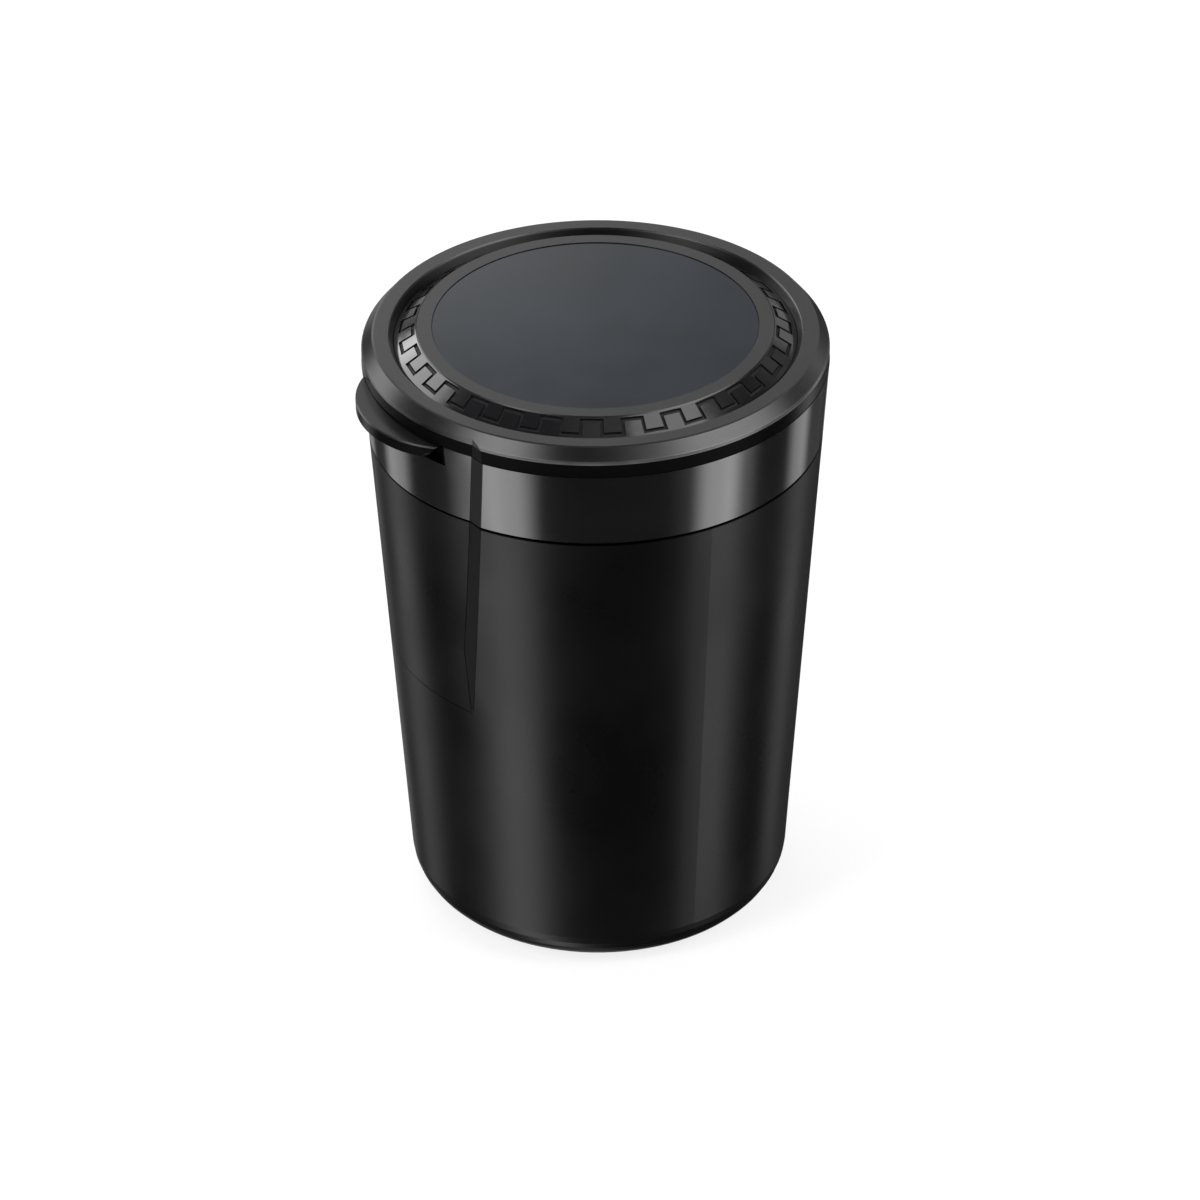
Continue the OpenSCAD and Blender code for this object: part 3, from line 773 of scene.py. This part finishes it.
@dataclass(frozen=True)
class EmitterFinish(Finish):
    """White package with a yellow phosphor field in its middle."""

    ring_radius: float = 18.55 * MM
    count: int = 4
    field_radius: float = 1.1 * MM
    field_core: float = 0.99 * MM
    phosphor: Colour = (0.85, 0.62, 0.08)

    def colour(self, book: NodeBook, patches: Socket) -> Socket:
        """Paints the phosphor field of each emitter.

        Args:
            book: The material's tree.
            patches: The mask of the soft patches.

        Returns:
            The colour output.
        """
        colour = super().colour(book, patches)
        place = book.place()
        for index in range(self.count):
            turn = (index + 0.5) * math.tau / self.count
            spot = (self.ring_radius * math.cos(turn), self.ring_radius * math.sin(turn), 0.0)
            away = SHELF.radius(book, book.vector("SUBTRACT", place, spot).outputs[0])
            near = book.spread(away, self.field_core, self.field_radius, 1.0, 0.0)
            colour = book.mix(near, colour, self.phosphor)
        return colour


FINISHES = {
    # painted shade: neck, upper edge and relief flank near black
    "satin_black": ShoulderShadeFinish(
        "satin_black_cup", (0.0024, 0.0024, 0.0026), 0.3, specular=0.25, grain_depth=0.003 * MM,
        shade_and_sheen_roughness=0.4, shade_and_sheen_metallic=1.0, flank_shade_share=0.85),
    # painted shade: notch under the tab and relief flank near black
    "gloss_black": NotchShadeFinish(
        "gloss_black_collar", (0.004, 0.004, 0.0044), 0.2, patchy=0.04, coat=1.0, grain_scale=300.0,
        grain_depth=0.001 * MM, shade_and_sheen_roughness=0.4, shade_and_sheen_metallic=1.0, flank_shade_share=0.85),
    # painted shade: the engraved line's floor darker; its matte roughness is the floor's own finish
    "gloss_ring": GrooveShadeFinish(
        "gloss_black_ring", (0.005, 0.005, 0.0056), 0.2, patchy=0.04, coat=1.0, grain_scale=500.0,
        grain_depth=0.001 * MM),
    # painted sheen: a lighter colour on the tab's top; its coat and roughness are the top's own satin finish
    "matte_black": TabSheenFinish(
        "matte_black_band", (0.0025, 0.0025, 0.0027), 0.28, specular=0.01, grain_scale=2200.0,
        grain_depth=0.006 * MM, coat_roughness=0.26, shade_and_sheen_base=(0.006, 0.006, 0.0065),
        shade_and_sheen_roughness=0.35, shade_and_sheen_coat=1.0, edge_coat=0.85),
    # painted shade: the valley round the disc near black
    "lid_satin": ValleyShadeFinish(
        # its lighter line on the outer edge is part rubbing, part painted highlight
        "satin_black_lid", (0.006, 0.006, 0.0065), 0.26, specular=0.75, wear_and_highlight_radius=39.77 * MM,
        wear_and_highlight_width=0.35 * MM, grain_depth=0.003 * MM, shade_and_sheen_metallic=1.0, shade_and_sheen_roughness=0.4),
    "panel_slate": Finish(
        "slate_panel", (0.007, 0.01, 0.0135), 0.09, patchy=0.02, specular=0.4, grain_scale=300.0,
        grain_depth=0.0005 * MM, dust=0.01),
    "liner_metal": Finish(
        "drawn_aluminium", (0.62, 0.63, 0.65), 0.3, metallic=1.0, tone=0.06, lay=Lay.DRAWN,
        lay_depth=0.01 * MM),
    "soft_rubber": Finish(
        "soft_rubber", (0.02, 0.02, 0.02), 0.75, specular=0.3, grain_scale=1500.0, grain_depth=0.02 * MM,
        dust=0.2),
    "rest_resin": Finish(
        "grained_resin", (0.016, 0.016, 0.0165), 0.55, specular=0.4, grain_scale=1800.0,
        grain_depth=0.015 * MM),
    "sheet_steel": Finish(
        "brushed_steel", (0.42, 0.42, 0.435), 0.5, metallic=1.0, tone=0.05, lay=Lay.STRAIGHT,
        lay_depth=0.008 * MM),
    "pin_steel": Finish("ground_steel", (0.5, 0.5, 0.51), 0.22, metallic=1.0, tone=0.05, lay=Lay.TURNED),
    "sleeve_brass": Finish(
        "turned_brass", (0.62, 0.42, 0.16), 0.25, metallic=1.0, tone=0.08, lay=Lay.DRAWN,
        lay_depth=0.004 * MM),
    "board_green": BoardFinish("board_green", (0.02, 0.16, 0.06), 0.35),
    "emitter_white": EmitterFinish("emitter_white", (0.75, 0.78, 0.8), 0.35),
    "lens_clear": LensFinish("frosted_lens", (0.86, 0.9, 0.94), 0.42, tone=0.03),
    "chip_black": Finish("moulded_black", (0.012, 0.012, 0.012), 0.45, grain_depth=0.008 * MM),
}


class Wardrobe:
    """Builds each finish once and dresses nodes and pieces with it."""

    def __init__(self) -> None:
        """Starts with no material made."""
        self.made: dict[str, bpy.types.Material] = {}

    def get(self, slot: str) -> bpy.types.Material:
        """Gives a slot's material, and makes it the first time."""
        if slot not in self.made:
            self.made[slot] = FINISHES[slot].material()
        return self.made[slot]

    def dress(self, node: str, slot: str) -> None:
        """Gives a CAD node a finish.

        Args:
            node: The node's name.
            slot: The slot whose finish it gets.
        """
        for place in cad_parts[node].material_slots:
            place.material = self.get(slot)
        LOG.info("%s: %s", node, slot)


@dataclass
class Assembly:
    """A group of CAD nodes on one body, with the finish of each."""

    body: str
    finishes: dict[str, str]

    def build(self, wardrobe: Wardrobe) -> None:
        """Dresses every node of the group.

        Args:
            wardrobe: Where the finishes come from.
        """
        for node, slot in self.finishes.items():
            wardrobe.dress(node, slot)


@dataclass
class CupAssembly(Assembly):
    """The outer cup, its pad and the liner."""

    body: str = "cup"
    finishes: dict[str, str] = field(default_factory=lambda: {
        "cup": "satin_black", "base_pad": "soft_rubber", "liner": "liner_metal"})


@dataclass
class HeadAssembly(Assembly):
    """The collar with everything that it carries."""

    body: str = "head"
    finishes: dict[str, str] = field(default_factory=lambda: {
        "collar": "gloss_black", "head_seal": "soft_rubber", "rest_ring": "rest_resin",
        "snuffer_plate": "sheet_steel", "snuffer_sleeve": "sleeve_brass", "switch_magnet": "pin_steel",
        "hinge_pin": "pin_steel"})


@dataclass
class LidAssembly(Assembly):
    """The lid with its rings, its panel and its light."""

    body: str = "lid"
    finishes: dict[str, str] = field(default_factory=lambda: {
        "lid_shell": "lid_satin", "lid_base": "matte_black", "meander_ring": "gloss_ring",
        "disc_frame": "lid_satin", "top_panel": "panel_slate", "lid_gasket": "soft_rubber",
        "heat_shield": "sheet_steel", "led_board": "board_green", "led_emitters": "emitter_white",
        "led_lens": "lens_clear", "lid_sensor": "chip_black", "coin_cell": "pin_steel",
        "cell_contact": "sleeve_brass", "battery_cover": "chip_black", "lid_screws": "pin_steel"})
    head_radius: float = 1.76 * MM
    shank_radius: float = 0.8 * MM
    head_height: float = 0.96 * MM
    recess_depth: float = 0.6 * MM
    recess_inset: float = 0.35
    recess_wing: float = math.radians(16.0)
    recess_reach: float = 0.62
    recess_waist: float = 0.24
    recess_taper: float = 0.55
    sides: int = 32

    def build(self, wardrobe: Wardrobe) -> None:
        """Dresses the lid and makes its screws.

        Args:
            wardrobe: Where the finishes come from.
        """
        super().build(wardrobe)
        self.screws(wardrobe)

    def screws(self, wardrobe: Wardrobe) -> None:
        """Makes the countersunk screws with a cross recess, in place of the plain ones.

        Args:
            wardrobe: Where the finish comes from.
        """
        low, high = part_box("lid_screws")
        shape = bmesh.new()
        self.screw(shape, high.z - low.z)
        one = shape.verts[:] + shape.edges[:] + shape.faces[:]
        ring = high.x - self.head_radius
        spots = [Vector((across, along, low.z)) for across in (-ring, ring) for along in (-ring, ring)]
        for spot in spots[1:]:
            copied = bmesh.ops.duplicate(shape, geom=one)["geom"]
            bmesh.ops.translate(shape, verts=self.verts(copied), vec=spot)
        bmesh.ops.translate(shape, verts=self.verts(one), vec=spots[0])
        bmesh.ops.recalc_face_normals(shape, faces=shape.faces[:])
        mesh = bpy.data.meshes.new("lid_screws_cross")
        shape.to_mesh(mesh)
        shape.free()
        piece = bpy.data.objects.new("lid_screws_cross", mesh)
        bpy.context.scene.collection.objects.link(piece)
        mesh.materials.append(wardrobe.get("pin_steel"))
        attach(piece, self.body)
        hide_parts("lid_screws")
        LOG.info("%s: %d faces", piece.name, len(mesh.polygons))

    def verts(self, geom: list[object]) -> list[bmesh.types.BMVert]:
        """Picks the vertices out of mixed geometry."""
        return [item for item in geom if isinstance(item, bmesh.types.BMVert)]

    def screw(self, shape: bmesh.types.BMesh, length: float) -> None:
        """Makes one screw that points up, with its head's face at the origin.

        Args:
            shape: The empty mesh that gets the screw.
            length: The whole length.
        """
        bmesh.ops.create_circle(shape, cap_ends=True, segments=self.sides, radius=self.head_radius)
        self.cross(shape, shape.faces[:][0])
        rim = [edge for edge in shape.edges if edge.is_boundary]
        for radius, height in ((self.shank_radius, self.head_height), (self.shank_radius, length)):
            grown = bmesh.ops.extrude_edge_only(shape, edges=rim)["geom"]
            rim = [item for item in grown if isinstance(item, bmesh.types.BMEdge)]
            for vert in {vert for edge in rim for vert in edge.verts}:
                flat = Vector((vert.co.x, vert.co.y, 0.0)).normalized() * radius
                vert.co = Vector((flat.x, flat.y, height))
        bmesh.ops.holes_fill(shape, edges=rim, sides=self.sides)

    def cross(self, shape: bmesh.types.BMesh, face: bmesh.types.BMFace) -> None:
        """Sinks a cross recess into a screw's head.

        Args:
            shape: The mesh.
            face: The head's round face.
        """
        thickness = self.head_radius * self.recess_inset
        bmesh.ops.inset_region(shape, faces=[face], thickness=thickness, use_even_offset=True)
        for vert in face.verts:
            turn = math.atan2(vert.co.y, vert.co.x)
            off = abs((turn + math.pi / 4) % (math.pi / 2) - math.pi / 4)
            reach = self.recess_reach if off < self.recess_wing else self.recess_waist
            vert.co = Vector((math.cos(turn), math.sin(turn), 0.0)) * self.head_radius * reach
        floor = self.verts(bmesh.ops.extrude_face_region(shape, geom=[face])["geom"])
        bmesh.ops.delete(shape, geom=[face], context="FACES_ONLY")
        bmesh.ops.scale(shape, verts=floor, vec=(self.recess_taper, self.recess_taper, 1.0))
        bmesh.ops.translate(shape, verts=floor, vec=(0.0, 0.0, self.recess_depth))


@dataclass(frozen=True)
class SoftBox:
    """One large soft light of the studio, as seen in gloss, by its direction from the object.

    Angles are in degrees: left is counted from the camera to the left, and rise from the horizon up.
    """

    left: float
    half: float
    soft: float
    low: float
    high: float
    fade: float
    light: float


@dataclass(frozen=True)
class SoftLamp:
    """One rectangular lamp that faces the ashtray; its angles are counted as for a soft box."""

    name: str
    left: float
    rise: float
    size: tuple[float, float]
    power: float
    away: float = 0.8


@dataclass
class Studio:
    """The floor, the surroundings, the lamps and the camera."""

    camera_turn: float = math.radians(60.4)
    camera_place: tuple[float, float, float] = (0.69974, -0.39698, 0.58381)
    camera_drop: float = 0.5488
    camera_roll: float = -0.007
    lens: float = 165.0
    sensor: float = 36.0
    clip: tuple[float, float] = (0.05, 20.0)
    floor_size: float = 8.0
    floor_tone: float = 0.8
    floor_roughness: float = 0.9
    floor_glow: float = 0.8
    fill: float = 0.55
    dark: float = 0.03
    lamp_target: Direction = (0.0, 0.0, 0.08)
    lamps: tuple[SoftLamp, ...] = (
        SoftLamp("left_strip", 50.0, 35.0, (0.2, 0.7), 6.0),
        SoftLamp("right_strip", -68.0, 35.0, (0.25, 0.7), 5.0),
        SoftLamp("top_box", 150.0, 65.0, (0.5, 0.5), 5.0),
    )
    boxes: tuple[SoftBox, ...] = (
        SoftBox(48.0, 5.0, 16.0, -95.0, 0.0, 16.0, 2.5),
        SoftBox(63.0, 3.0, 15.0, -95.0, 0.0, 16.0, 0.75),
        SoftBox(-66.0, 5.0, 13.0, -50.0, 0.0, 14.0, 2.6),
        SoftBox(-79.0, 3.0, 12.0, -50.0, 0.0, 14.0, 0.5),
        SoftBox(121.0, 5.0, 12.0, -46.0, 0.0, 13.0, 0.95),
        SoftBox(-146.0, 6.0, 14.0, -44.0, 0.0, 12.0, 0.04),
        SoftBox(-125.5, 3.0, 11.0, -44.0, 0.0, 12.0, 0.85),
        SoftBox(-52.0, 4.0, 13.0, -50.0, 0.0, 14.0, 0.15),
        SoftBox(172.0, 13.0, 10.0, -95.0, 4.0, 10.0, 0.3),
        SoftBox(53.0, 6.0, 23.0, 8.0, 45.0, 14.0, 4.0),
        SoftBox(-72.0, 12.0, 27.0, 8.0, 52.0, 14.0, 3.1),
        SoftBox(-42.0, 8.0, 30.0, 8.0, 52.0, 14.0, 0.8),
        SoftBox(-86.0, 18.0, 12.0, 56.0, 78.0, 6.0, 1.7),
        SoftBox(130.0, 14.0, 7.0, 2.0, 40.0, 8.0, 2.4),
        SoftBox(-137.0, 30.0, 20.0, -5.0, 14.0, 8.0, 0.3),
        SoftBox(-150.0, 14.0, 14.0, 20.0, 50.0, 10.0, 0.2),
        SoftBox(160.0, 17.5, 5.0, 12.0, 29.5, 2.0, 0.95),
        SoftBox(180.0, 30.0, 12.0, 10.0, 57.0, 10.0, 0.4),
        SoftBox(0.0, 180.0, 1.0, 75.0, 95.0, 16.0, 0.4),
    )

    def build(self) -> None:
        """Builds the whole studio."""
        self.world()
        self.floor()
        for lamp in self.lamps:
            self.lamp(lamp)
        self.camera()
        bpy.context.scene.view_settings.view_transform = "Standard"

    def aim(self, left: float, elevation: float) -> Vector:
        """Gives a direction seen from the camera's side.

        Args:
            left: Degrees to the left of the camera.
            elevation: Degrees above the horizon.

        Returns:
            The direction out from the object.
        """
        turn = self.camera_turn - math.radians(left)
        rise = math.radians(elevation)
        return Vector((math.sin(turn) * math.cos(rise), -math.cos(turn) * math.cos(rise), math.sin(rise)))

    def lamp(self, plan: SoftLamp) -> None:
        """Adds a soft rectangular lamp that only lights and is never seen.

        Args:
            plan: The lamp's place, size and power.
        """
        data = bpy.data.lights.new(plan.name, "AREA")
        data.shape = "RECTANGLE"
        data.size, data.size_y = plan.size
        data.energy = plan.power
        lamp = bpy.data.objects.new(plan.name, data)
        bpy.context.scene.collection.objects.link(lamp)
        target = Vector(self.lamp_target)
        lamp.location = target + self.aim(plan.left, plan.rise) * plan.away
        lamp.rotation_euler = (lamp.location - target).to_track_quat("Z", "Y").to_euler()
        lamp.visible_camera = False
        lamp.visible_glossy = False

    def world(self) -> None:
        """Makes white surroundings, in which gloss shows soft boxes before dark cloth."""
        world = bpy.data.worlds.new("studio")
        bpy.context.scene.world = world
        world.use_nodes = True
        book = NodeBook(world.node_tree)
        back = world.node_tree.nodes["Background"]
        path = book.add("LightPath")
        level = book.blend(self.seen(book, path), self.fill, 1.0)
        gloss = self.boxes_light(book)
        book.link(book.mix(path.outputs["Is Glossy Ray"], level, gloss), back.inputs["Color"])
        back.inputs["Strength"].default_value = 1.0

    def seen(self, book: NodeBook, path: bpy.types.Node) -> Socket:
        """Tells the rays that see the white background.

        Args:
            book: The tree.
            path: The Light Path node.

        Returns:
            1 for a ray from the camera or through glass, else 0.
        """
        return book.sum("MAXIMUM", path.outputs["Is Camera Ray"], path.outputs["Is Transmission Ray"])

    def boxes_light(self, book: NodeBook) -> Socket:
        """Adds up the light of all soft boxes in a direction.

        Args:
            book: The world's tree.

        Returns:
            The light's strength.
        """
        degrees = math.degrees(1.0)
        across, along, height = book.parts(book.add("TexCoord").outputs["Generated"])
        rise = book.sum("MULTIPLY", book.sum("ARCSINE", height), degrees)
        turn = book.sum("ARCTAN2", across, book.sum("MULTIPLY", along, -1.0))
        left = book.sum("SUBTRACT", math.degrees(self.camera_turn), book.sum("MULTIPLY", turn, degrees))
        total: object = self.dark
        for box in self.boxes:
            away = book.sum("WRAP", book.sum("SUBTRACT", left, box.left), 180.0, -180.0)
            share = book.product(
                self.soft_edge(book, book.sum("ABSOLUTE", away), box.half + box.soft, box.half),
                self.soft_edge(book, rise, box.low, box.low + box.fade),
                self.soft_edge(book, rise, box.high + box.fade, box.high))
            total = book.sum("ADD", total, book.sum("MULTIPLY", share, box.light))
        return total

    def soft_edge(self, book: NodeBook, value: Socket, dark_at: float, light_at: float) -> Socket:
        """Fades from 0 to 1 between two values.

        Args:
            book: The tree.
            value: What it depends on.
            dark_at: Where it is 0.
            light_at: Where it is 1.

        Returns:
            The faded share.
        """
        node = book.add("MapRange", interpolation_type="SMOOTHSTEP")
        for socket, item in zip(node.inputs, (value, dark_at, light_at, 0.0, 1.0)):
            book.feed(socket, item)
        return node.outputs[0]

    def floor(self) -> None:
        """Makes the pale floor, which keeps the ashtray's shadow."""
        shape = bmesh.new()
        bmesh.ops.create_grid(shape, x_segments=1, y_segments=1, size=self.floor_size / 2)
        mesh = bpy.data.meshes.new("floor")
        shape.to_mesh(mesh)
        shape.free()
        piece = bpy.data.objects.new("floor", mesh)
        bpy.context.scene.collection.objects.link(piece)
        piece.visible_glossy = False
        material = bpy.data.materials.new("pale_floor")
        material.use_nodes = True
        book = NodeBook(material.node_tree)
        plain = material.node_tree.nodes["Principled BSDF"]
        plain.inputs["Base Color"].default_value = (*(self.floor_tone,) * 3, 1.0)
        plain.inputs["Roughness"].default_value = self.floor_roughness
        plain.inputs["Specular IOR Level"].default_value = 0.0
        glow = book.add("Emission")
        mixed = book.add("MixShader")
        seen = self.seen(book, book.add("LightPath"))
        book.link(book.sum("MULTIPLY", seen, self.floor_glow), mixed.inputs[0])
        book.link(plain.outputs[0], mixed.inputs[1])
        book.link(glow.outputs[0], mixed.inputs[2])
        book.link(mixed.outputs[0], material.node_tree.nodes["Material Output"].inputs["Surface"])
        mesh.materials.append(material)

    def camera(self) -> None:
        """Places the camera where the photograph was taken from."""
        data = bpy.data.cameras.new("camera")
        data.lens = self.lens
        data.sensor_width = self.sensor
        data.clip_start, data.clip_end = self.clip
        camera = bpy.data.objects.new("camera", data)
        bpy.context.scene.collection.objects.link(camera)
        back = self.aim(0.0, math.degrees(math.asin(self.camera_drop)))
        across = Vector((math.cos(self.camera_turn), math.sin(self.camera_turn), 0.0))
        up = back.cross(across)
        roll_across = across * math.cos(self.camera_roll) + up * math.sin(self.camera_roll)
        roll_up = up * math.cos(self.camera_roll) - across * math.sin(self.camera_roll)
        turn = Matrix((roll_across, roll_up, back)).transposed()
        camera.rotation_euler = turn.to_euler()
        camera.location = self.camera_place
        bpy.context.scene.camera = camera


def main() -> None:
    """Builds every sub-assembly and the studio."""
    logging.basicConfig(level=logging.INFO, format="%(name)s %(message)s")
    wardrobe = Wardrobe()
    for assembly in (CupAssembly(), HeadAssembly(), LidAssembly()):
        assembly.build(wardrobe)
        LOG.info("body %s: %d nodes dressed", assembly.body, len(assembly.finishes))
    Studio().build()


if __name__ == "__main__":
    main()
